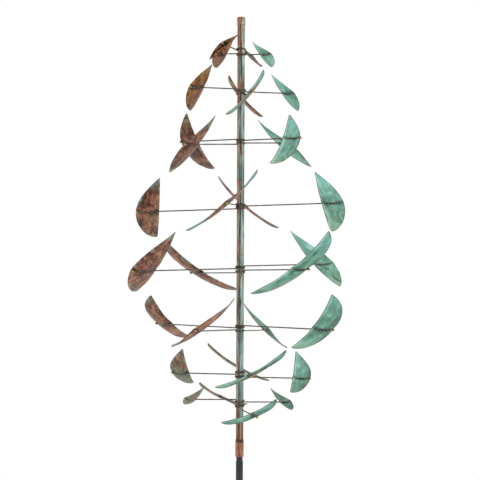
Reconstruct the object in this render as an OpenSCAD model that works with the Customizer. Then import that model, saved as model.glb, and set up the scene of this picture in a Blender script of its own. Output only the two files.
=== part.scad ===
// Garden wind spinner. A copper tube turns on a steel spindle that stands in a black pole.
// Eight tiers of crossed wire rods are wound round the tube, and each arm carries one
// half-moon copper vane that is dished, pitched like a windmill's sail and laced on its rod.
// Millimetres. +Z up along the spin axis, with the origin at the centre of the pole's foot.

/* [Mast] */
// Outside diameter of the black pole
pole_d = 21.3; // [20.5:0.1:22]
// Inside diameter of the black pole
pole_bore = 15.8; // [15:0.1:17]
// Length of the pole, the buried end included
pole_length = 700; // [500:10:760]
// How far the spindle's thick foot reaches down into the pole
spindle_socket = 140; // [60:5:200]
// Diameter of the spindle inside the rotor
spindle_d = 12; // [10:0.5:13]
// Outside diameter of the spacer on top of the pole
spacer_d = 19; // [18:0.5:20]
// Height of that spacer
spacer_height = 14; // [10:0.5:16]

/* [Rotor tube] */
// Outside diameter of the copper tube
tube_d = 22.2; // [22:0.1:22.2]
// Wall of the copper tube
tube_wall = 0.8; // [0.6:0.1:1]
// Height of the tube's top end above the pole's foot
tube_top = 2005.8; // [2000:0.1:2010]
// Outside diameter of the coupling at the bottom
coupling_d = 24.8; // [24:0.1:25.5]
// Height of the coupling
coupling_height = 43.4; // [40:0.1:46]
// Height of the rounded shoulder on the coupling
shoulder_height = 7.5; // [5:0.5:9]
// Outside diameter of the cap
cap_d = 24.4; // [24:0.1:25.5]
// Height of the cap
cap_height = 22.4; // [18:0.1:26]

/* [Rods] */
// Diameter of the wire rods
rod_d = 3.6; // [3:0.1:4]
// Climb of one turn of a rod's coil
coil_pitch = 3.75; // [3.75:0.05:3.8]
// Diameter of the bead on each arm's end
bead_d = 7.4; // [7:0.2:8]

/* [Vanes] */
// Thickness of the copper sheet
sheet = 0.8; // [0.6:0.1:1]
// Play of a rod in a vane's slots
slot_play = 0.1; // [0.05:0.05:0.3]

/* [Tiers, listed from the top one down; the first value of a pair is rod a, the second rod b] */
// Height of each rod's coil
rod_z = [[1903, 1919.5], [1796, 1786.5], [1641.5, 1650], [1451, 1460.5],
         [1262, 1274], [1099.5, 1087], [952, 964], [877.5, 865.5]]; // [860:0.5:1960]
// Direction of each rod's first arm, anticlockwise from +X
azimuth = [[29, 62.5], [37, 96], [34, -15.5], [8.5, 85.5],
           [-59.5, 30.5], [-45, 73.5], [-7.5, 95], [17, 112]]; // [-180:0.5:180]
// How far each first arm is bent up from level, with its second arm bent down as much
tilt = [[7, -2.5], [4, 6], [3.8, 1], [2.5, 2], [1.2, 1], [1, -3.5], [-0.2, -4], [-2.3, 2]]; // [-8:0.1:8]
// Full turns in each coil
turns = [[1, 1], [2, 1], [1, 1], [2, 1], [2, 2], [2, 1], [2, 2], [2, 2]]; // [1:1:2]
// Which side of the tube each rod passes, +1 on the right of its first arm or -1 on the left
side = [[1, -1], [1, 1], [-1, 1], [1, -1], [-1, -1], [1, -1], [-1, 1], [-1, -1]]; // [-1:2:1]
// Whether each coil climbs towards its first arm, +1, or towards its second, -1
climb = [[-1, 1], [-1, 1], [1, -1], [1, 1], [1, 1], [1, -1], [-1, 1], [-1, 1]]; // [-1:2:1]
// Distance from the tube's centre to the vanes' straight inner edges
reach = [50, 138, 132, 241, 265, 297, 156, 125]; // [45:1:320]
// Half the length of a vane's inner edge
half_length = [63, 86, 160, 133, 160, 115, 118, 94]; // [55:1:160]
// Width of a vane
width = [44, 54, 54, 68, 80, 76, 53, 40]; // [38:1:84]
// How far a vane's tips curl back
curl = [8, 11, 22, 17, 20, 18, 14, 13]; // [6:1:24]
// How far above a vane's middle its rod passes
crossing = [12, 11, 40, 9, -4, -11, -13, 5]; // [-20:1:40]
// Pitch of the vanes from upright: first and second arm of rod a, then of rod b
pitch_angle = [[42, 57, 42, 52], [40, 43, 39, 38], [53.5, 58.5, 52.5, 59.5], [43, 49.5, 48.5, 49],
               [57, 60, 57, 57], [53, 52, 47.5, 55], [66, 59, 60.5, 64.5], [77, 66, 64, 70.5]]; // [30:0.5:80]

/* [Hidden] */
$fn = 96;
tiers = [1 : len(reach)];
ends = [0, 1];

// Mast and rotor stations, from the foot up
spacer_z = pole_length;
collar_gap = 0.6;
coupling_z = spacer_z + spacer_height + collar_gap;
bush_z = coupling_z + 1;
bush_height = 20;
tube_z = bush_z + bush_height + 1.4;
shoulder_z = coupling_z + coupling_height;
socket_r = tube_d / 2 + 0.025;
running_play = 0.05;

// Deep-groove ball bearing of the common 8 x 22 x 7 size
bearing_bore = 8;
bearing_d = 22;
bearing_width = 7;
ball_d = 3.97;
ball_circle = 15;
ball_count = 7;
groove_r = ball_d / 2 + 0.045;
inner_land = 12.1;
outer_land = 17.9;

// Rods
rod_r = rod_d / 2;
knuckle_r = rod_r + 0.08;
coil_r = tube_d / 2 + knuckle_r + 0.08;
lean = asin(coil_pitch / 4 / coil_r);
root_r = coil_r * cos(lean);

// Where a rod crosses a vane: sheet and rod clear each other at this distance
rod_gap = rod_r + sheet / 2 + slot_play;
middle_share = 0.25;

// Shape of one tier's vanes, worked out from their width
function dish_depth(t) = 5.5 + width[t] / 20;
function dish_r(t) = (width[t] * width[t] / 4 + dish_depth(t) * dish_depth(t)) / (2 * dish_depth(t));
function drop_at(t, y) = dish_r(t) - sqrt(dish_r(t) * dish_r(t) - y * y);
function y_at(t, drop) = sqrt(2 * dish_r(t) * drop - drop * drop);
function crown(t) = rod_gap + drop_at(t, middle_share * width[t] / 2);
function length_r(t) = half_length[t] * half_length[t] / (2 * curl[t]);
function outer_strip(t) = width[t] / 2 - y_at(t, crown(t) + rod_gap);
function bead_q(t) = width[t] - outer_strip(t) / 2;

function rod_name(t, rod) = str("tier_", t, "_rod_", rod == 0 ? "a" : "b");
function vane_name(t, rod, end) = str("tier_", t, "_vane_", rod == 0 ? "a" : "b", end + 1);

mast_nodes = ["mast_pole", "spindle", "spacer_collar", "top_bearing_inner_ring"];
cage_nodes = ["top_bearing_balls", "top_bearing_cage"];
tube_nodes = ["rotor_tube", "top_cap", "bottom_coupling", "guide_bush",
              "top_bearing_outer_ring", "end_beads"];
rod_nodes = [for (t = tiers) for (rod = ends) rod_name(t, rod)];
vane_nodes = [for (t = tiers) for (rod = ends) for (end = ends) vane_name(t, rod, end)];

// ---- Mast ----

module ring(outer_r, inner_r, z, height) {
    translate([0, 0, z])
        difference() {
            cylinder(r = outer_r, h = height);
            translate([0, 0, -1]) cylinder(r = inner_r, h = height + 2);
        }
}

module mast_pole() {
    color("#1b1b1d") ring(pole_d / 2, pole_bore / 2, 0, pole_length);
}

// Thick foot in the pole, a long shaft, and a journal whose shoulder carries the bearing
module spindle() {
    foot_r = pole_bore / 2;
    journal_top = tube_top + bearing_width - 1;
    color("#8d9095")
        rotate_extrude()
            polygon([
                [0, pole_length - spindle_socket],
                [foot_r - 1, pole_length - spindle_socket],
                [foot_r, pole_length - spindle_socket + 1],
                [foot_r, pole_length],
                [spindle_d / 2, pole_length],
                [spindle_d / 2, tube_top],
                [bearing_bore / 2, tube_top],
                [bearing_bore / 2, journal_top - 0.5],
                [bearing_bore / 2 - 0.5, journal_top],
                [0, journal_top]
            ]);
}

module spacer_collar() {
    color("#232326") ring(spacer_d / 2, spindle_d / 2, spacer_z, spacer_height);
}

// ---- Top bearing ----

module groove() {
    translate([0, 0, tube_top + bearing_width / 2])
        rotate_extrude() translate([ball_circle / 2, 0]) circle(r = groove_r, $fn = 48);
}

module top_bearing_inner_ring() {
    color("#c9ccd0")
        difference() {
            ring(inner_land / 2, bearing_bore / 2, tube_top, bearing_width);
            groove();
        }
}

module top_bearing_outer_ring() {
    color("#c9ccd0")
        difference() {
            ring(bearing_d / 2, outer_land / 2, tube_top, bearing_width);
            groove();
        }
}

module at_balls() {
    for (k = [0 : ball_count - 1])
        rotate([0, 0, 360 * k / ball_count])
            translate([ball_circle / 2, 0, tube_top + bearing_width / 2]) children();
}

module top_bearing_balls() {
    color("#e3e5e8") at_balls() sphere(d = ball_d, $fn = 48);
}

module top_bearing_cage() {
    cage_height = 5;
    cage_wall = 1.2;
    color("#a5742f")
        difference() {
            ring((ball_circle + cage_wall) / 2, (ball_circle - cage_wall) / 2,
                 tube_top + (bearing_width - cage_height) / 2, cage_height);
            at_balls() sphere(d = ball_d + 2 * running_play, $fn = 48);
        }
}

// ---- Rotor core ----

module rotor_tube() {
    color("#8a5a3c") ring(tube_d / 2, tube_d / 2 - tube_wall, tube_z, tube_top - tube_z);
}

// Slip cap with a rounded crown; its ceiling rests on the bearing's outer ring
module top_cap() {
    crown_r = 2.5;
    cap_r = cap_d / 2;
    cap_z = tube_top + bearing_width + 1.2 - cap_height;
    ceiling = cap_height - 1.2;
    color("#93603f")
        translate([0, 0, cap_z])
            difference() {
                rotate_extrude() {
                    square([cap_r, cap_height - crown_r]);
                    square([cap_r - crown_r, cap_height]);
                    translate([cap_r - crown_r, cap_height - crown_r])
                        intersection() {
                            circle(r = crown_r);
                            square([crown_r, crown_r]);
                        }
                }
                translate([0, 0, -1]) cylinder(r = socket_r, h = ceiling + 1);
            }
}

// Coupling that holds tube and bush, with the rounded shoulder that blends it into the tube
module bottom_coupling() {
    shoulder_r = coupling_d / 2 - 0.6;
    color("#8f5b3b")
        difference() {
            union() {
                translate([0, 0, coupling_z]) cylinder(d = coupling_d, h = coupling_height);
                translate([0, 0, shoulder_z])
                    rotate_extrude() {
                        square([socket_r + 0.6, shoulder_height]);
                        translate([shoulder_r - shoulder_height / 2, shoulder_height / 2])
                            intersection() {
                                circle(r = shoulder_height / 2);
                                translate([0, -shoulder_height / 2]) square(shoulder_height);
                            }
                    }
            }
            translate([0, 0, coupling_z - 1])
                cylinder(r = socket_r, h = coupling_height + shoulder_height + 2);
        }
}

module guide_bush() {
    color("#b98a45")
        ring(tube_d / 2, spindle_d / 2 + running_play, bush_z, bush_height);
}

// ---- Rods ----

// Half a turn that climbs half a pitch and starts and ends level, just short of its knuckles
module half_turn(odd) {
    short = 1.3;
    rotate([0, odd ? -lean : lean, 0])
        rotate([0, 0, short + (odd ? 180 : 0)])
            rotate_extrude(angle = 180 - 2 * short)
                translate([coil_r, 0]) circle(r = rod_r, $fn = 48);
}

// Coil centred on the tube, entered and left level along +X, on the -Y side of the tube.
// The wire swells a hair at each knuckle, where one half turn meets the next or an arm.
module coil(count) {
    rotate([0, 0, -90])
        translate([0, 0, -count * coil_pitch / 2]) {
            for (k = [0 : 2 * count - 1])
                translate([0, 0, (k + 0.5) * coil_pitch / 2]) half_turn(k % 2 == 1);
            for (k = [0 : 2 * count])
                translate([k % 2 == 0 ? root_r : -root_r, 0, k * coil_pitch / 2])
                    sphere(r = knuckle_r, $fn = 48);
        }
}

// The point where an arm leaves the coil, with +X level and outwards along the arm
module at_arm_root(t, rod, end) {
    way = end == 0 ? 1 : -1;
    rotate([0, 0, azimuth[t][rod] + 180 * end])
        translate([0, -way * side[t][rod] * root_r,
                   rod_z[t][rod] + way * climb[t][rod] * turns[t][rod] * coil_pitch / 2])
            children();
}

function arm_tilt(t, rod, end) = end == 0 ? tilt[t][rod] : -tilt[t][rod];

// The same, with +X along the bent arm
module at_arm(t, rod, end) {
    at_arm_root(t, rod, end) rotate([0, -arm_tilt(t, rod, end), 0]) children();
}

// A whole rod whose coil climbs towards its first arm and passes the tube on the -Y side
module plain_rod(count, lift, arm_length) {
    start = 0.3;
    coil(count);
    for (end = ends) {
        way = 1 - 2 * end;
        rotate([0, 0, 180 * end])
            translate([0, -way * root_r, way * count * coil_pitch / 2])
                rotate([0, 90 - way * lift, 0])
                    translate([0, 0, start]) cylinder(r = rod_r, h = arm_length - start, $fn = 48);
    }
}

module rod(t, rod) {
    color("#4a3d33")
        translate([0, 0, rod_z[t][rod]])
            rotate([0, 0, azimuth[t][rod]])
                mirror([0, side[t][rod] < 0 ? 1 : 0, 0])
                    mirror([0, 0, climb[t][rod] < 0 ? 1 : 0])
                        plain_rod(turns[t][rod], climb[t][rod] * tilt[t][rod],
                                  reach[t] + bead_q(t) + 1);
}

// ---- Vanes ----
// In a vane's own frame +X runs outwards along the rod from the inner edge,
// +Y runs down the vane and +Z is the normal on its convex side.

module at_vane(t, rod, end) {
    at_arm(t, rod, end)
        translate([reach[t], 0, 0])
            rotate([-90 - pitch_angle[t][2 * rod + end], 0, 0]) children();
}

// Ring section swept about the axis that curls the vane's length
module dish(t) {
    sweep = 52;
    r = dish_r(t);
    rotate([0, 90, 0])
        rotate([0, 0, 180])
            translate([-length_r(t), 0, 0])
                rotate([0, 0, -sweep / 2])
                    rotate_extrude(angle = sweep, $fn = 360)
                        translate([length_r(t) - r + crown(t), width[t] / 2])
                            intersection() {
                                difference() {
                                    circle(r = r + sheet / 2, $fn = 180);
                                    circle(r = r - sheet / 2, $fn = 180);
                                }
                                translate([r - 30, -width[t]]) square([60, 2 * width[t]]);
                            }
}

module half_moon(t) {
    arc_r = (half_length[t] * half_length[t] + width[t] * width[t]) / (2 * width[t]);
    translate([0, crossing[t]])
        intersection() {
            translate([width[t] - arc_r, 0]) circle(r = arc_r, $fn = 180);
            translate([0, -half_length[t]]) square([width[t], 2 * half_length[t]]);
        }
}

// The two slots where the rod passes through the sheet
module slots(t) {
    slot_r = rod_r + slot_play;
    near = y_at(t, crown(t) - rod_gap) + slot_r;
    far = y_at(t, crown(t) + rod_gap) - slot_r;
    for (way = [-1, 1])
        translate([width[t] / 2 + way * (near + far) / 2, 0]) {
            square([far - near, 2 * slot_r], center = true);
            for (tip = [-1, 1])
                translate([tip * (far - near) / 2, 0]) circle(r = slot_r, $fn = 48);
        }
}

module vane_shape(t) {
    depth = 160;
    difference() {
        intersection() {
            dish(t);
            translate([0, 0, -depth / 2]) linear_extrude(depth) half_moon(t);
        }
        translate([0, 0, -depth / 2]) linear_extrude(depth) slots(t);
    }
}

module vane(t, rod, end) {
    color(end == 0 ? "#4f7f73" : "#80503a") at_vane(t, rod, end) vane_shape(t);
}

// Bead on each arm's end, flattened where it bears on the vane's outer strip
module end_beads() {
    color("#c9a23a")
        for (t = tiers) for (rod = ends) for (end = ends)
            at_vane(t - 1, rod, end) bead(t - 1);
}

module bead(t) {
    y = bead_q(t) - width[t] / 2;
    slope = asin(y / dish_r(t));
    translate([bead_q(t), 0, 0])
        difference() {
            rotate([0, 90, 0])
                rotate_extrude()
                    difference() {
                        intersection() {
                            circle(d = bead_d, $fn = 48);
                            translate([0, -bead_d]) square([bead_d, 2 * bead_d]);
                        }
                        translate([0, -bead_d]) square([rod_r + 0.02, bead_d + 1.05]);
                    }
            translate([0, 0, crown(t) - drop_at(t, y)])
                rotate([0, slope, 0])
                    translate([-bead_d, -bead_d, sheet / 2 + 0.05 - 2 * bead_d])
                        cube(2 * bead_d);
        }
}

mast_pole();
spindle();
spacer_collar();
top_bearing_inner_ring();
top_bearing_balls();
top_bearing_cage();
rotor_tube();
top_cap();
bottom_coupling();
guide_bush();
top_bearing_outer_ring();
end_beads();
for (t = tiers) for (rod = ends)
    rod(t - 1, rod);
for (t = tiers) for (rod = ends) for (end = ends)
    vane(t - 1, rod, end);
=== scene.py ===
"""Garden wind spinner: looks for the copper tube, its crossed wire rods and its 32 half-moon vanes.

Metres. +Z runs up the spin axis and the origin is the centre of the pole's foot. A vane is a
thin dished sheet worked out on a grid, a rod is a round wire carried along its path, and a bead
is a profile turned about its rod. Everything else is the frame's own node with a finish.
"""
import math

import bmesh
import bpy
import numpy as np
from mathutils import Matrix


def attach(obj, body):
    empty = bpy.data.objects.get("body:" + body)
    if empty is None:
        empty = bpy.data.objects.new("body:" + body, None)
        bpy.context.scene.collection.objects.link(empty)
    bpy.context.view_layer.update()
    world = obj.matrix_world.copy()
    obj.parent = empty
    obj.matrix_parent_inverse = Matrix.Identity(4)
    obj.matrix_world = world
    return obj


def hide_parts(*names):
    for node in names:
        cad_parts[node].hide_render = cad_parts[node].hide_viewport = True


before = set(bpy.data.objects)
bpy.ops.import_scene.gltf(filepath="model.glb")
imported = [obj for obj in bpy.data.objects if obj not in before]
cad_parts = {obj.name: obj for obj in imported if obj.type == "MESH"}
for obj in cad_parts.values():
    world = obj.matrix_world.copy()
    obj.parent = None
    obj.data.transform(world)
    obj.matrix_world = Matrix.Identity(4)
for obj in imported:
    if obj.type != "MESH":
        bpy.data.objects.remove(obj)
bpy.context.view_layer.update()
scene = bpy.context.scene

# ---- Camera, light and floor ----

VIEW_FROM = (-0.0009, -2.96, 1.311)
LENS, SENSOR = 75.0, 36.0
VIEW_RISE = 0.031
VIEW_ROLL = math.radians(0.24)
ROTOR_MIDDLE = (0, 0, 1.3)
DARK_BELOW, WHITE_ABOVE, LEAST_WHITE = -0.75, -0.28, 0.30
FLOOR_RADIUS, FLOOR_DROP, FLOOR_SIDES = 2.4, 0.001, 96


def set_camera():
    """Level camera in front of the spinner; the frame's rise keeps upright lines parallel."""
    eye = bpy.data.cameras.new("front_view")
    eye.lens, eye.sensor_width, eye.shift_y = LENS, SENSOR, VIEW_RISE
    holder = bpy.data.objects.new("front_view", eye)
    holder.location = VIEW_FROM
    holder.rotation_euler = (math.pi / 2, -VIEW_ROLL, 0)
    scene.collection.objects.link(holder)
    scene.camera = holder


def soft_light(name, place, aim, size, power):
    """A square studio light of that size in metres, turned from place towards aim."""
    lamp = bpy.data.lights.new(name, "AREA")
    lamp.shape, lamp.size, lamp.energy = "SQUARE", size, power
    holder = bpy.data.objects.new(name, lamp)
    holder.location = place
    way = np.subtract(aim, place)
    level = math.hypot(way[0], way[1])
    holder.rotation_euler = (math.atan2(level, -way[2]), 0, math.atan2(way[1], way[0]) - math.pi / 2)
    scene.collection.objects.link(holder)


def set_studio():
    """White surroundings that darken below, a broad light from the upper right, a weak one left."""
    scene.view_settings.view_transform = "Standard"
    scene.view_settings.look = "None"
    world = bpy.data.worlds.new("white_room")
    world.use_nodes = True
    world.node_tree.nodes["Background"].inputs["Color"].default_value = (1, 1, 1, 1)
    nodes, links = world.node_tree.nodes, world.node_tree.links
    way = nodes.new("ShaderNodeTexCoord")
    part = nodes.new("ShaderNodeSeparateXYZ")
    level = nodes.new("ShaderNodeMapRange")
    links.new(way.outputs["Generated"], part.inputs[0])
    links.new(part.outputs["Z"], level.inputs["Value"])
    for key, value in (("From Min", DARK_BELOW), ("From Max", WHITE_ABOVE),
                       ("To Min", LEAST_WHITE), ("To Max", 1.0)):
        level.inputs[key].default_value = value
    links.new(level.outputs["Result"], nodes["Background"].inputs["Strength"])
    scene.world = world
    soft_light("broad_light", (2.2, -2.4, 3.4), ROTOR_MIDDLE, 1.6, 48)
    soft_light("left_light", (-2.6, -1.6, 1.8), ROTOR_MIDDLE, 1.5, 12)


# ---- Finishes ----

def paint(code):
    """Linear colour with alpha 1 from a '#rrggbb' code."""
    level = np.array([int(code[i:i + 2], 16) for i in (1, 3, 5)]) / 255
    linear = np.where(level <= 0.04045, level / 12.92, ((level + 0.055) / 1.055) ** 2.4)
    return (*linear.tolist(), 1.0)


class Finish:
    """One finish while its node tree is put together. Each method adds nodes, returns a socket."""

    def __init__(self, name):
        self.material = bpy.data.materials.new(name)
        self.material.use_nodes = True
        self.tree = self.material.node_tree
        self.shader = self.tree.nodes["Principled BSDF"]

    def add(self, kind, **settings):
        node = self.tree.nodes.new("ShaderNode" + kind)
        for key, value in settings.items():
            setattr(node, key, value)
        return node

    def feed(self, socket, value):
        if isinstance(value, bpy.types.NodeSocket):
            self.tree.links.new(value, socket)
        elif isinstance(value, str):
            socket.default_value = paint(value)
        else:
            socket.default_value = value

    def surface(self, **values):
        """Sets the shader's own sockets, such as base_color, roughness, metallic."""
        for key, value in values.items():
            self.feed(self.shader.inputs[key.replace("_", " ").title().replace("Ior", "IOR")], value)

    def place(self, scale=(1, 1, 1)):
        """The point on the whole object, in metres, stretched by scale."""
        return self.stretched(self.add("TexCoord").outputs["Object"], scale)

    def held(self, name):
        """A value that the piece's mesh holds at its points."""
        return self.add("Attribute", attribute_name=name)

    def stretched(self, vector, scale):
        node = self.add("Mapping")
        self.feed(node.inputs["Vector"], vector)
        node.inputs["Scale"].default_value = scale
        return node.outputs["Vector"]

    def split(self, vector):
        node = self.add("SeparateXYZ")
        self.feed(node.inputs[0], vector)
        return node.outputs

    def noise(self, vector, scale, detail=3.0, rough=0.55, warp=0.0):
        node = self.add("TexNoise")
        self.feed(node.inputs["Vector"], vector)
        for key, value in (("Scale", scale), ("Detail", detail), ("Roughness", rough), ("Distortion", warp)):
            node.inputs[key].default_value = value
        return node.outputs["Fac"]

    def spots(self, vector, scale):
        node = self.add("TexVoronoi")
        self.feed(node.inputs["Vector"], vector)
        node.inputs["Scale"].default_value = scale
        return node.outputs["Distance"]

    def maths(self, job, *values):
        node = self.add("Math", operation=job)
        for socket, value in zip(node.inputs, values):
            self.feed(socket, value)
        return node.outputs[0]

    def rise(self, value, low, high):
        """0 below low, 1 above high and smooth between them; falls instead where low > high."""
        node = self.add("MapRange", interpolation_type="SMOOTHSTEP")
        self.feed(node.inputs["Value"], value)
        first, last = (0.0, 1.0) if low < high else (1.0, 0.0)
        for key, number in (("From Min", min(low, high)), ("From Max", max(low, high)),
                            ("To Min", first), ("To Max", last)):
            node.inputs[key].default_value = number
        return node.outputs["Result"]

    def ridge(self, value, level, width):
        """1 where value crosses level, 0 at width or more from it: thin wandering lines."""
        gap = self.maths("ABSOLUTE", self.maths("SUBTRACT", value, level))
        return self.rise(gap, width, 0.0)

    def ramp(self, factor, *stops):
        """Colour ramp from (place, code) stops."""
        node = self.add("ValToRGB")
        band = node.color_ramp
        while len(band.elements) < len(stops):
            band.elements.new(1.0)
        for element, (at, code) in zip(band.elements, stops):
            element.position, element.color = at, paint(code)
        self.feed(node.inputs[0], factor)
        return node.outputs["Color"]

    def over(self, factor, under, top):
        """Colour top laid over colour under by factor."""
        node = self.add("Mix", data_type="RGBA")
        for socket, value in zip((node.inputs[0], node.inputs[6], node.inputs[7]), (factor, under, top)):
            self.feed(socket, value)
        return node.outputs[2]

    def relief(self, height, depth, strength):
        """Bump of that depth in metres on the shader's normal."""
        node = self.add("Bump")
        node.inputs["Strength"].default_value = strength
        node.inputs["Distance"].default_value = depth
        self.feed(node.inputs["Height"], height)
        self.feed(self.shader.inputs["Normal"], node.outputs["Normal"])


SHEET_POINT, SHEET_EDGE = "sheet_point", "sheet_edge"


def sheet_values(finish):
    """What a vane holds: its own point (across, along, number), and margin, hole and tip values."""
    point = finish.held(SHEET_POINT).outputs["Vector"]
    margin, hole, tip = finish.split(finish.held(SHEET_EDGE).outputs["Vector"])
    return point, margin, hole, tip


def browned_copper():
    """Convex side: red-brown heat-coloured copper with dark streaks, olive lines, green fringes and painted
    shade round the rod's holes.
    """
    f = Finish("browned_copper")
    point, margin, hole, tip = sheet_values(f)
    streak = f.noise(f.stretched(point, (130, 26, 1)), 1.0, 5, 0.62, 0.7)
    cloud = f.noise(f.stretched(point, (44, 26, 1)), 1.0, 5, 0.62, 1.1)
    grain = f.noise(f.stretched(point, (420, 300, 9)), 1.0, 4, 0.65)
    skin = f.ramp(f.maths("ADD", f.maths("MULTIPLY", streak, 0.35), f.maths("MULTIPLY", cloud, 0.65)),
                  (0.34, "#24100a"), (0.43, "#4c2214"), (0.50, "#74402c"),
                  (0.57, "#9a6850"), (0.66, "#c79a82"))
    skin = f.over(f.maths("MULTIPLY", f.rise(cloud, 0.54, 0.66), 0.7), skin, "#a05e34")
    skin = f.over(f.rise(grain, 0.62, 0.75), skin, "#35211a")
    line = f.ridge(f.noise(f.stretched(point, (46, 60, 3)), 1.0, 3, 0.5, 1.6), 0.5, 0.018)
    patch = f.rise(f.noise(f.stretched(point, (26, 16, 7)), 1.0, 2), 0.46, 0.60)
    skin = f.over(f.maths("MULTIPLY", f.maths("MULTIPLY", line, patch), 0.9), skin, "#9c9a5c")
    speck = f.rise(f.spots(f.stretched(point, (260, 170, 11)), 1.0), 0.26, 0.12)
    skin = f.over(f.maths("MULTIPLY", f.maths("MULTIPLY", speck, patch), 0.55), skin, "#a5a06a")
    bloom = f.noise(f.stretched(point, (60, 30, 13)), 1.0, 5, 0.65, 0.5)
    fringe = f.maths("MULTIPLY", f.rise(margin, 0.009, 0.0005), f.rise(bloom, 0.50, 0.62))
    tips = f.maths("MULTIPLY", f.rise(tip, 0.66, 0.99), f.rise(bloom, 0.36, 0.56))
    green = f.maths("MAXIMUM", fringe, tips)
    skin = f.over(f.maths("MULTIPLY", green, 0.85), skin, f.ramp(bloom, (0.40, "#4d6a58"), (0.60, "#7fb0a2")))
    _, _, height = f.split(f.place())
    gold = f.maths("MULTIPLY", f.rise(height, 1.68, 1.80), f.rise(bloom, 0.42, 0.56))
    skin = f.over(f.maths("MULTIPLY", gold, 0.65), skin, f.ramp(grain, (0.42, "#8a4a1c"), (0.58, "#b58a3e")))
    moss = f.maths("MULTIPLY", f.rise(height, 1.04, 0.94), f.rise(bloom, 0.38, 0.54))
    skin = f.over(f.maths("MULTIPLY", moss, 0.75), skin, f.ramp(grain, (0.40, "#3d4a35"), (0.60, "#6f9a83")))
    # Painted shade: darkens the sheet round the holes where the rod passes through it.
    painted_hole_shade = f.maths("MULTIPLY", f.rise(hole, 0.013, 0.003), f.rise(grain, 0.30, 0.52))
    skin = f.over(f.maths("MULTIPLY", painted_hole_shade, 0.85), skin, "#1d100c")
    rim = f.rise(margin, 0.0016, 0.0006)
    skin = f.over(f.maths("MULTIPLY", rim, 0.5), skin, "#4a2a1c")
    f.surface(base_color=skin, specular_ior_level=0.5,
              metallic=f.maths("MULTIPLY", f.rise(cloud, 0.65, 0.35), 0.35),
              roughness=f.maths("ADD", 0.30, f.maths("MULTIPLY", bloom, 0.25)))
    f.relief(f.maths("ADD", f.maths("MULTIPLY", grain, 0.4), streak), 0.0005, 0.45)
    return f.material


def verdigris():
    """Concave side: soft blue-green patina, with painted shadow of the rod near its holes and a painted
    highlight along the inner edge.
    """
    f = Finish("verdigris")
    point, margin, hole, tip = sheet_values(f)
    across, along, _ = f.split(point)
    cloud = f.noise(f.stretched(point, (30, 15, 1)), 1.0, 4, 0.55, 0.7)
    streak = f.noise(f.stretched(point, (150, 17, 5)), 1.0, 4, 0.6, 0.3)
    grain = f.noise(f.stretched(point, (380, 320, 9)), 1.0, 3, 0.6)
    skin = f.ramp(f.maths("ADD", f.maths("MULTIPLY", cloud, 0.75), f.maths("MULTIPLY", streak, 0.25)),
                  (0.34, "#2f5748"), (0.43, "#4f7e6c"), (0.50, "#659583"),
                  (0.57, "#76a897"), (0.68, "#a0cdc2"))
    low = f.maths("MULTIPLY", f.rise(along, -0.03, -0.12), f.rise(cloud, 0.40, 0.62))
    skin = f.over(f.maths("MULTIPLY", low, 0.5), skin, "#7f9468")
    high = f.maths("MULTIPLY", f.rise(along, 0.03, 0.12), f.rise(streak, 0.35, 0.60))
    skin = f.over(f.maths("MULTIPLY", high, 0.55), skin, "#6db3b2")
    skin = f.over(f.maths("MULTIPLY", f.rise(grain, 0.60, 0.78), 0.45), skin, "#3f6153")
    olive = f.rise(f.noise(f.stretched(point, (34, 26, 17)), 1.0, 4, 0.6, 0.5), 0.55, 0.66)
    skin = f.over(f.maths("MULTIPLY", olive, 0.45), skin, "#6d7048")
    # Painted highlight: a paler band along the bent inner edge, broken up by streaks.
    painted_edge_highlight = f.maths("MULTIPLY", f.rise(across, 0.0075, 0.0055), f.rise(streak, 0.35, 0.6))
    skin = f.over(f.maths("MULTIPLY", painted_edge_highlight, 0.5), skin, "#a3cfc2")
    # Painted shadow of the rod: darkens the sheet along the rod near its holes.
    painted_rod_shadow = f.rise(hole, 0.012, 0.002)
    skin = f.over(f.maths("MULTIPLY", painted_rod_shadow, 0.7), skin, "#1f4038")
    rim = f.rise(margin, 0.0022, 0.0008)
    skin = f.over(f.maths("MULTIPLY", rim, 0.8), skin, "#4e3a28")
    f.surface(base_color=skin, metallic=0.0, specular_ior_level=0.35,
              roughness=f.maths("ADD", 0.50, f.maths("MULTIPLY", streak, 0.25)))
    f.relief(f.maths("ADD", f.maths("MULTIPLY", grain, 0.5), cloud), 0.0005, 0.35)
    return f.material


def cut_edge():
    """Sheared edge of the sheet: dark bare copper with green crumbs."""
    f = Finish("cut_edge")
    point = f.held(SHEET_POINT).outputs["Vector"]
    worn = f.noise(f.stretched(point, (90, 90, 5)), 1.0, 4, 0.6)
    f.surface(base_color=f.ramp(worn, (0.35, "#2f1d13"), (0.55, "#6b4029"), (0.70, "#5f7d68")),
              metallic=f.rise(worn, 0.62, 0.45), roughness=0.45)
    return f.material


COPPER_FADE = 0.03


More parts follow.
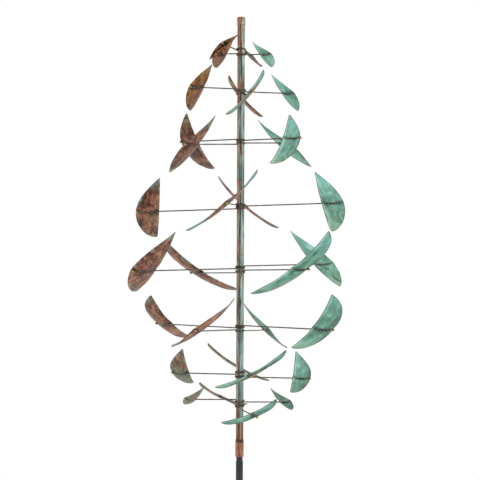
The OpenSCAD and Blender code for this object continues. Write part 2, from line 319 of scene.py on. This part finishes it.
def streaked_tube(name, copper_low, copper_high, share):
    """Round copper stock with long upright streaks: green to +X, pink copper to -X, and painted shade as a
    dark stripe down the middle between them.

    copper_low and copper_high are heights between which copper shows most; share is how green."""
    f = Finish(name)
    x, _, z = f.split(f.place())
    streak = f.noise(f.place((330, 330, 14)), 1.0, 5, 0.6, 0.5)
    cloud = f.noise(f.place((55, 55, 17)), 1.0, 4, 0.6, 0.8)
    grain = f.noise(f.place((700, 700, 260)), 1.0, 3, 0.6)
    drift = f.maths("MULTIPLY", f.maths("SUBTRACT", cloud, 0.5), 2.6)
    lean = f.maths("ADD", f.maths("MULTIPLY", x, 22.0), drift)
    shake = f.maths("MULTIPLY", f.maths("SUBTRACT", streak, 0.5), 2.2)
    green = f.rise(f.maths("ADD", lean, shake), -share, 0.55 - share)
    bare = f.maths("MULTIPLY", f.rise(z, copper_high + COPPER_FADE, copper_high),
                   f.rise(z, copper_low - COPPER_FADE, copper_low))
    green = f.maths("MULTIPLY", green, f.maths("SUBTRACT", 1.0, f.maths("MULTIPLY", bare, 0.8)))
    copper = f.ramp(streak, (0.34, "#2c1810"), (0.45, "#6b3d2a"), (0.54, "#9a6a52"), (0.66, "#cfa48c"))
    patina = f.ramp(streak, (0.34, "#2c4238"), (0.45, "#577a6c"), (0.54, "#7fa195"), (0.66, "#b4ccc2"))
    skin = f.over(green, copper, patina)
    skin = f.over(f.maths("MULTIPLY", f.rise(grain, 0.56, 0.70), 0.6), skin, "#2b1f18")
    # Painted shade: a dark stripe down the tube's middle, where x is near zero, broken up by cloud.
    painted_middle_shade = f.rise(f.maths("ABSOLUTE", f.maths("ADD", x, 0.0015)), 0.006, 0.001)
    dark = f.maths("MULTIPLY", f.maths("MULTIPLY", painted_middle_shade, f.rise(cloud, 0.38, 0.52)), 0.7)
    skin = f.over(dark, skin, "#2e211a")
    crust = f.ridge(f.noise(f.place((140, 140, 60)), 1.0, 3, 0.5, 1.2), 0.5, 0.02)
    skin = f.over(f.maths("MULTIPLY", crust, 0.35), skin, "#2e261d")
    f.surface(base_color=skin, metallic=f.maths("MULTIPLY", f.maths("SUBTRACT", 1.0, green), 0.6),
              roughness=f.maths("ADD", 0.36, f.maths("MULTIPLY", green, 0.25)))
    f.relief(f.maths("ADD", streak, grain), 0.0004, 0.35)
    return f.material


def fitting_copper():
    """Cap and coupling: orange-brown copper, a dark ring at the coupling's shoulder, green on the cap."""
    f = Finish("fitting_copper")
    x, _, z = f.split(f.place())
    streak = f.noise(f.place((260, 260, 26)), 1.0, 5, 0.6, 0.6)
    cloud = f.noise(f.place((90, 90, 45)), 1.0, 4, 0.6, 0.8)
    grain = f.noise(f.place((800, 800, 400)), 1.0, 3, 0.6)
    skin = f.ramp(streak, (0.28, "#3b1f13"), (0.42, "#74452f"), (0.54, "#9a664a"), (0.70, "#c6977c"))
    skin = f.over(f.maths("MULTIPLY", f.rise(cloud, 0.55, 0.68), 0.6), skin, "#4a2d1f")
    upper = f.rise(z, 1.90, 1.95)
    green = f.maths("MULTIPLY", upper, f.rise(f.maths("ADD", f.maths("MULTIPLY", x, 40), streak), 0.40, 0.80))
    skin = f.over(f.maths("MULTIPLY", green, 0.85), skin,
                  f.ramp(streak, (0.35, "#5a6f62"), (0.65, "#9aada0")))
    ring = f.maths("MULTIPLY", f.rise(z, 0.7565, 0.7590), f.rise(z, 0.80, 0.77))
    skin = f.over(f.maths("MULTIPLY", ring, 0.8), skin, "#231510")
    skin = f.over(f.maths("MULTIPLY", f.rise(grain, 0.60, 0.75), 0.5), skin, "#2a1a12")
    f.surface(base_color=skin, metallic=0.55, roughness=f.maths("ADD", 0.34, f.maths("MULTIPLY", cloud, 0.2)))
    f.relief(f.maths("ADD", streak, grain), 0.0004, 0.4)
    return f.material


def plain_metal(name, dark, light, metallic, rough, size=120.0, depth=0.0002):
    """Mottled metal between two colours, with fine wear; size is the mottling's fineness per metre."""
    f = Finish(name)
    mottle = f.noise(f.place((size, size, size)), 1.0, 4, 0.6, 0.4)
    grain = f.noise(f.place((9 * size, 9 * size, 9 * size)), 1.0, 3, 0.6)
    f.surface(base_color=f.ramp(mottle, (0.36, dark), (0.62, light)), metallic=metallic,
              roughness=f.maths("ADD", rough, f.maths("MULTIPLY", grain, 0.16)))
    f.relief(grain, depth, 0.3)
    return f.material


def aged_wire():
    """Rods: dark grey-brown wire, bare and paler on its high spots."""
    f = Finish("aged_wire")
    mottle = f.noise(f.place((70, 70, 70)), 1.0, 5, 0.6, 0.6)
    grain = f.noise(f.place((900, 900, 900)), 1.0, 4, 0.6)
    skin = f.ramp(mottle, (0.34, "#2a221d"), (0.50, "#4b3f37"), (0.66, "#7a6c60"))
    skin = f.over(f.maths("MULTIPLY", f.rise(grain, 0.56, 0.72), 0.5), skin, "#8c8175")
    f.surface(base_color=skin, metallic=0.55, roughness=f.maths("ADD", 0.34, f.maths("MULTIPLY", grain, 0.2)))
    f.relief(grain, 0.0002, 0.35)
    return f.material


# ---- Meshes ----

def surface_piece(name, points, faces, body, slot, *materials):
    """A mesh object from point and face arrays that rides on body and takes the given materials; slot is not
    used.
    """
    mesh = bpy.data.meshes.new(name)
    mesh.from_pydata(points, [], faces)
    mesh.shade_smooth()
    for material in materials:
        mesh.materials.append(material)
    piece = bpy.data.objects.new(name, mesh)
    scene.collection.objects.link(piece)
    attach(piece, body)
    return piece


def weld(piece):
    """Joins points that lie on each other, which closes seams and poles."""
    shape = bmesh.new()
    shape.from_mesh(piece.data)
    bmesh.ops.remove_doubles(shape, verts=shape.verts, dist=2e-6)
    bmesh.ops.dissolve_degenerate(shape, edges=shape.edges, dist=1e-7)
    shape.to_mesh(piece.data)
    shape.free()
    piece.data.shade_smooth()


def grid_faces(rows, columns, wrap=False):
    """Quads between neighbouring rows and columns; wrap joins the last column to the first."""
    index = np.arange(rows * columns).reshape(rows, columns)
    if wrap:
        index = np.hstack([index, index[:, :1]])
    corners = (index[:-1, :-1], index[:-1, 1:], index[1:, 1:], index[1:, :-1])
    return np.stack(corners, -1).reshape(-1, 4)


def unit(vectors):
    return vectors / np.linalg.norm(vectors, axis=-1, keepdims=True)


# ---- The design, tier by tier from the top, in step with the frame ----

TUBE_R, ROD_R, SHEET = 0.0111, 0.0018, 0.0008
LEAST_DISH = 0.0055
COIL_PITCH, BEAD_R, SLOT_PLAY = 0.00375, 0.0037, 0.0001
KNUCKLE_R = ROD_R + 0.00008
COIL_R = TUBE_R + KNUCKLE_R + 0.00008
ROOT_R = COIL_R * math.cos(math.asin(COIL_PITCH / 4 / COIL_R))
ROD_GAP = ROD_R + SHEET / 2 + SLOT_PLAY
MIDDLE_SHARE = 0.25


def tier(rod_z, azimuth, tilt, turns, side, climb, reach, half_length, width, curl, crossing, pitch):
    """One tier's settings, lengths given in millimetres and angles in degrees. Pairs are rods a, b."""
    mm = 0.001
    return dict(rod_z=np.array(rod_z) * mm, azimuth=np.radians(azimuth), tilt=np.radians(tilt),
                turns=turns, side=side, climb=climb, reach=reach * mm, half_length=half_length * mm,
                width=width * mm, curl=curl * mm, crossing=crossing * mm, pitch=np.radians(pitch))


TIERS = [
    tier((1903, 1919.5), (29, 62.5), (7, -2.5), (1, 1), (1, -1), (-1, 1), 50, 63, 44, 8, 12,
         (42, 57, 42, 52)),
    tier((1796, 1786.5), (37, 96), (4, 6), (2, 1), (1, 1), (-1, 1), 138, 86, 54, 11, 11,
         (40, 43, 39, 38)),
    tier((1641.5, 1650), (34, -15.5), (3.8, 1), (1, 1), (-1, 1), (1, -1), 132, 160, 54, 22, 40,
         (53.5, 58.5, 52.5, 59.5)),
    tier((1451, 1460.5), (8.5, 85.5), (2.5, 2), (2, 1), (1, -1), (1, 1), 241, 133, 68, 17, 9,
         (43, 49.5, 48.5, 49)),
    tier((1262, 1274), (-59.5, 30.5), (1.2, 1), (2, 2), (-1, -1), (1, 1), 265, 160, 80, 20, -4,
         (57, 60, 57, 57)),
    tier((1099.5, 1087), (-45, 73.5), (1, -3.5), (2, 1), (1, -1), (1, -1), 297, 115, 76, 18, -11,
         (53, 52, 47.5, 55)),
    tier((952, 964), (-7.5, 95), (-0.2, -4), (2, 2), (-1, 1), (-1, 1), 156, 118, 53, 14, -13,
         (66, 59, 60.5, 64.5)),
    tier((877.5, 865.5), (17, 112), (-2.3, 2), (2, 2), (-1, -1), (-1, 1), 125, 94, 40, 13, 5,
         (77, 66, 64, 70.5)),
]


def dish(t):
    """A tier's dish: cross radius from width and depth, and its crown's height over the rod."""
    w = t["width"]
    depth = LEAST_DISH + w / 20
    radius = (w * w / 4 + depth * depth) / (2 * depth)
    crown = ROD_GAP + radius - math.sqrt(radius ** 2 - (MIDDLE_SHARE * w / 2) ** 2)

    def y_at(drop):
        return math.sqrt(2 * radius * drop - drop * drop)

    return radius, crown, y_at(crown - ROD_GAP), y_at(crown + ROD_GAP)


def arm_frame(t, rod, end):
    """Where an arm leaves its coil, and its directions: out along the arm, sideways, and up."""
    way = 1 - 2 * end
    turn = t["azimuth"][rod] + math.pi * end
    lift = way * t["tilt"][rod]
    level = np.array([math.cos(turn), math.sin(turn), 0.0])
    sideways = np.array([-math.sin(turn), math.cos(turn), 0.0])
    root = -way * t["side"][rod] * ROOT_R * sideways
    root[2] = t["rod_z"][rod] + way * t["climb"][rod] * t["turns"][rod] * COIL_PITCH / 2
    up = np.array([0.0, 0.0, 1.0])
    out = level * math.cos(lift) + up * math.sin(lift)
    return root, out, sideways, up * math.cos(lift) - level * math.sin(lift)


def vane_frame(t, rod, end):
    """The vane's own axes: origin where the rod meets its inner edge, out, up the sheet, and normal."""
    root, out, sideways, up = arm_frame(t, rod, end)
    tip_over = t["pitch"][2 * rod + end]
    chord = math.cos(tip_over) * up + math.sin(tip_over) * sideways
    normal = math.cos(tip_over) * sideways - math.sin(tip_over) * up
    return root + t["reach"] * out, out, chord, normal


# ---- Vanes ----

TIP_ROUND = 0.0022
SOFT_DISH = 0.78
DIMPLE = 0.016
COLUMNS = (5, 12, 10, 12, 5)
ROWS = 34
EDGE_BEND, EDGE_SLOPE = 0.0072, 0.16
RIPPLE, RIPPLE_FADE = 0.00055, 0.02
HOLE_FADE = 0.003


def outline(t, along):
    """Inner and outer edge at a place along the vane: straight edge, arc, and rounded tips.

    The arc has radius (half_length^2 + width^2) / (2 width). A small circle touches both edges
    at each tip; beyond its centre the inner edge follows it, and beyond its touching point the
    outer edge does too."""
    w, h = t["width"], t["half_length"]
    radius = (h * h + w * w) / (2 * w)
    centre = w - radius
    small = TIP_ROUND
    tip = math.sqrt((radius - small) ** 2 - (small - centre) ** 2)
    far = np.abs(along)
    bow = np.sqrt(np.maximum(small ** 2 - np.maximum(far - tip, 0) ** 2, 0))
    inner = np.where(far > tip, small - bow, 0.0)
    outer = np.where(far > tip * radius / (radius - small), small + bow,
                     centre + np.sqrt(np.maximum(radius ** 2 - far ** 2, 0)))
    return inner, outer, tip + small


def sheet_height(t, across, down, wave):
    """Height of the sheet's middle over the rod, as (along the chord, along the normal).

    Across, the sheet drops from its crown like a circle; near the rod by the full dish, which
    lets its strips pass under the wire, and elsewhere by a softer one. Along, it rides on a
    larger circle, so its tips curl back. The inner edge is bent a little further, and slow
    sine waves that fade out at the rod make it hand-beaten."""
    radius, crown, _, _ = dish(t)
    y = across - t["width"] / 2
    near = np.exp(-(down / DIMPLE) ** 2)
    drop = (radius - np.sqrt(radius ** 2 - y ** 2)) * (SOFT_DISH + (1 - SOFT_DISH) * near)
    bend = EDGE_SLOPE * np.maximum(EDGE_BEND - across, 0)
    far = 1 - np.exp(-(down / RIPPLE_FADE) ** 2)
    ripple = (np.sin(across * 95 + wave) * np.cos(down * 38 + 2.3 * wave)
              + 0.6 * np.sin(down * 71 + across * 55 + 1.7 * wave))
    length_r = t["half_length"] ** 2 / (2 * t["curl"])
    ride = length_r + crown - drop - bend + RIPPLE * far * ripple
    turn = down / (length_r + crown)
    return ride * np.sin(turn), ride * np.cos(turn) - length_r


def vane(name, t, rod, end, number, materials):
    """One half-moon vane with two eye-shaped holes where the rod passes through it.

    Two patches meet on the rod's line. A grid's columns share the width between the two edges,
    its rows crowd at the rod and the tip, and at the rod they part round each hole."""
    _, _, near, far = dish(t)
    w = t["width"]
    _, reach_out, _ = outline(t, np.array(t["crossing"]))
    stations = np.array([0, w / 2 - far, w / 2 - near, w / 2 + near, w / 2 + far, float(reach_out)])
    share = np.concatenate([np.linspace(a, b, n, endpoint=False)
                            for a, b, n in zip(stations[:-1], stations[1:], COLUMNS)] + [stations[-1:]])
    share = share / stations[-1]
    step = np.linspace(0, 1, ROWS + 1)
    spread = 0.15 * step + 0.85 * step ** 2 * (3 - 2 * step)
    points, values, edges, faces = [], [], [], []
    origin, out, chord, normal = vane_frame(t, rod, end)
    for way in (1, -1):
        _, _, tip = outline(t, np.array(0.0))
        length = tip - way * t["crossing"]
        along = t["crossing"] + way * length * spread[:, None]
        inner, outer, _ = outline(t, along)
        across = inner + share[None, :] * (outer - inner)
        middle = (near + far) / 2
        inside = np.clip(1 - ((np.abs(across - w / 2) - middle) / ((far - near) / 2)) ** 2, 0, 1)
        rod_distance = np.abs(along - t["crossing"])
        part = (ROD_R + SLOT_PLAY) * np.sqrt(inside) * np.exp(-rod_distance / HOLE_FADE)
        along = along + way * part
        down = along - t["crossing"]
        up_sheet, over = sheet_height(t, across, down, number * 1.3)
        place = (origin + across[..., None] * out + up_sheet[..., None] * chord
                 + over[..., None] * normal).reshape(-1, 3)
        radius = (t["half_length"] ** 2 + w * w) / (2 * w)
        arc_gap = radius - np.hypot(across - (w - radius), along)
        beside = np.abs(np.abs(across - w / 2) - middle) - (far - near) / 2
        hole_gap = np.hypot(np.maximum(beside, 0), down)
        edge = np.stack([np.minimum(across, arc_gap), hole_gap, np.abs(along) / tip + 0 * across], -1)
        edge[..., 2] *= np.where(along > 0, 1.0, 0.93)
        value = np.stack([across, along + 0 * across, np.full(across.shape, 0.37 * number)], -1)
        quads = grid_faces(*across.shape) + sum(len(p) for p in points)
        faces.append(quads[:, ::-1] if way > 0 else quads)
        points.append(place)
        values.append(value.reshape(-1, 3))
        edges.append(edge.reshape(-1, 3))
    piece = surface_piece(name + "_sheet", np.concatenate(points), np.concatenate(faces), "rotor",
                          "vane_copper", *materials)
    for key, data in ((SHEET_POINT, values), (SHEET_EDGE, edges)):
        held = piece.data.attributes.new(key, "FLOAT_VECTOR", "POINT")
        held.data.foreach_set("vector", np.concatenate(data).astype(np.float32).ravel())
    weld(piece)
    wall = piece.modifiers.new("wall", "SOLIDIFY")
    wall.thickness, wall.offset = SHEET, 0.0
    wall.material_offset, wall.material_offset_rim = 1, 2
    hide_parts(name)


# ---- Rods and beads ----

WIRE_SIDES, ARM_STEPS, COIL_STEPS = 20, 22, 44
COIL_LEAD = 0.003
BEAD_SIDES, BEAD_STEPS = 24, 18
BORE_END, BORE_MOUTH = 0.00105, -0.001


def wire(name, path, radius, material):
    """A round wire: circles about the path's points, square to it, with a flat disc at each end."""
    along = unit(np.gradient(path, axis=0))
    level = unit(np.cross([0.0, 0.0, 1.0], along))
    upright = np.cross(along, level)
    angle = np.linspace(0, 2 * np.pi, WIRE_SIDES, endpoint=False)[None, :, None]
    rings = path[:, None] + radius * (np.cos(angle) * level[:, None] + np.sin(angle) * upright[:, None])
    sides = grid_faces(len(path), WIRE_SIDES, wrap=True)[:, ::-1]
    ends = np.arange(len(path) * WIRE_SIDES).reshape(len(path), WIRE_SIDES)
    faces = sides.tolist() + [ends[0].tolist(), ends[-1, ::-1].tolist()]
    return surface_piece(name, rings.reshape(-1, 3), faces, "rotor", "rod_wire", material)


def rod_path(t, rod):
    """Points along a rod: in along its second arm, round the tube as a helix, out along the first."""
    _, _, _, far = dish(t)
    end_q = t["width"] - (t["width"] / 2 - far) / 2
    length = t["reach"] + end_q + 0.001
    step = COIL_LEAD + (length - COIL_LEAD) * np.linspace(0, 1, ARM_STEPS)[:, None] ** 1.3
    arms = []
    for end in (0, 1):
        root, out, _, _ = arm_frame(t, rod, end)
        arms.append(root + step * out)
    turns, side, climb = t["turns"][rod], t["side"][rod], t["climb"][rod]
    skip = math.radians(10)
    angle = np.linspace(skip, 2 * math.pi * turns - skip, COIL_STEPS * turns)
    rise = (angle / (2 * math.pi) - turns / 2) * COIL_PITCH * climb
    spin = t["azimuth"][rod] + side * (angle - math.pi / 2)
    coil = np.stack([COIL_R * np.cos(spin), COIL_R * np.sin(spin), t["rod_z"][rod] + rise], -1)
    return np.concatenate([arms[1][::-1], coil, arms[0]])


def bead(t, rod, end):
    """One domed bead: a ball turned about the rod with a blind bore, its foot flat on the sheet.

    The profile runs from the bore's end, out along its wall, over the ball and to the pole.
    Points under the sheet's upper face are moved straight up to it."""
    radius, crown, _, far = dish(t)
    centre = t["width"] - (t["width"] / 2 - far) / 2
    bore = ROD_R + 0.00002
    start = math.pi - math.asin(bore / BEAD_R)
    arc = np.linspace(start, 0, BEAD_STEPS)
    axial = np.concatenate([[BORE_END, BORE_END, BORE_MOUTH], BEAD_R * np.cos(arc)])
    radial = np.concatenate([[0.0, bore, bore], BEAD_R * np.sin(arc)])
    angle = np.linspace(0, 2 * np.pi, BEAD_SIDES, endpoint=False)
    q = axial[:, None] + 0 * angle
    c = radial[:, None] * np.cos(angle)
    n = radial[:, None] * np.sin(angle)
    y = centre - t["width"] / 2
    slope = math.asin(y / radius)
    foot = crown - (radius - math.sqrt(radius ** 2 - y * y))
    over = q * math.sin(slope) + (n - foot) * math.cos(slope) - SHEET / 2 - 0.00005
    lift = np.maximum(-over, 0)
    q, n = q + lift * math.sin(slope), n + lift * math.cos(slope)
    origin, out, chord, normal = vane_frame(t, rod, end)
    place = origin + (centre + q)[..., None] * out + c[..., None] * chord + n[..., None] * normal
    return place.reshape(-1, 3), grid_faces(*q.shape, wrap=True)


def beads(material):
    """All 32 beads as one mesh."""
    points, faces = [], []
    for t in TIERS:
        for rod in (0, 1):
            for end in (0, 1):
                place, quads = bead(t, rod, end)
                faces.append(quads + sum(len(p) for p in points))
                points.append(place)
    piece = surface_piece("brass_beads", np.concatenate(points), np.concatenate(faces), "rotor",
                          "bead_brass", material)
    weld(piece)
    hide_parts("end_beads")


def floor():
    """Pale round floor just under the pole's foot, a disc made of rings."""
    angle = np.linspace(0, 2 * np.pi, FLOOR_SIDES, endpoint=False)
    ring = FLOOR_RADIUS * np.array([0.0, 0.5, 1.0])[:, None]
    points = np.stack([ring * np.cos(angle), ring * np.sin(angle), 0 * ring * angle - FLOOR_DROP], -1)
    mesh = bpy.data.meshes.new("pale_floor")
    mesh.from_pydata(points.reshape(-1, 3), [], grid_faces(len(ring), FLOOR_SIDES, wrap=True))
    finish = Finish("pale_floor")
    tone = finish.noise(finish.place((3, 3, 3)), 1.0)
    finish.surface(base_color=finish.ramp(tone, (0.3, "#e9e8e5"), (0.7, "#f2f1ee")), roughness=0.9)
    mesh.materials.append(finish.material)
    slab = bpy.data.objects.new("pale_floor", mesh)
    scene.collection.objects.link(slab)


# ---- Putting it together ----

set_camera()
set_studio()
floor()

vane_finishes = (browned_copper(), verdigris(), cut_edge())
wire_finish = aged_wire()
number = 0
for level, t in enumerate(TIERS, 1):
    for rod, letter in enumerate("ab"):
        piece = wire(f"tier_{level}_wire_{letter}", rod_path(t, rod), ROD_R, wire_finish)
        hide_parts(f"tier_{level}_rod_{letter}")
        for end in (0, 1):
            number += 1
            vane(f"tier_{level}_vane_{letter}{end + 1}", t, rod, end, number, vane_finishes)
beads(plain_metal("bead_brass", "#6e5420", "#c9a65a", 0.85, 0.25, 300.0))

NODE_FINISHES = {
    "mast_pole": plain_metal("black_pole", "#0c0c0f", "#1d1d21", 0.0, 0.30, 60.0, 0.0001),
    "spacer_collar": plain_metal("spacer", "#0e0e11", "#222226", 0.0, 0.34, 90.0, 0.0001),
    "spindle": plain_metal("steel", "#6e7276", "#9da1a5", 1.0, 0.28, 80.0, 0.0001),
    "top_bearing_inner_ring": plain_metal("bearing_steel", "#b4b7bb", "#d2d5d8", 1.0, 0.16, 200.0, 0.00005),
    "top_bearing_cage": plain_metal("cage_brass", "#8f6526", "#b98a3c", 1.0, 0.3, 200.0, 0.00005),
    "rotor_tube": streaked_tube("tube_copper", 0.76, 0.80, 0.35),
    "top_cap": fitting_copper(),
    "guide_bush": plain_metal("bush_bronze", "#8a6430", "#b98a45", 1.0, 0.34, 150.0, 0.0001),
}
NODE_FINISHES["bottom_coupling"] = NODE_FINISHES["top_cap"]
for same in ("top_bearing_outer_ring", "top_bearing_balls"):
    NODE_FINISHES[same] = NODE_FINISHES["top_bearing_inner_ring"]
for node, finish in NODE_FINISHES.items():
    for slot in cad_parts[node].material_slots:
        slot.material = finish
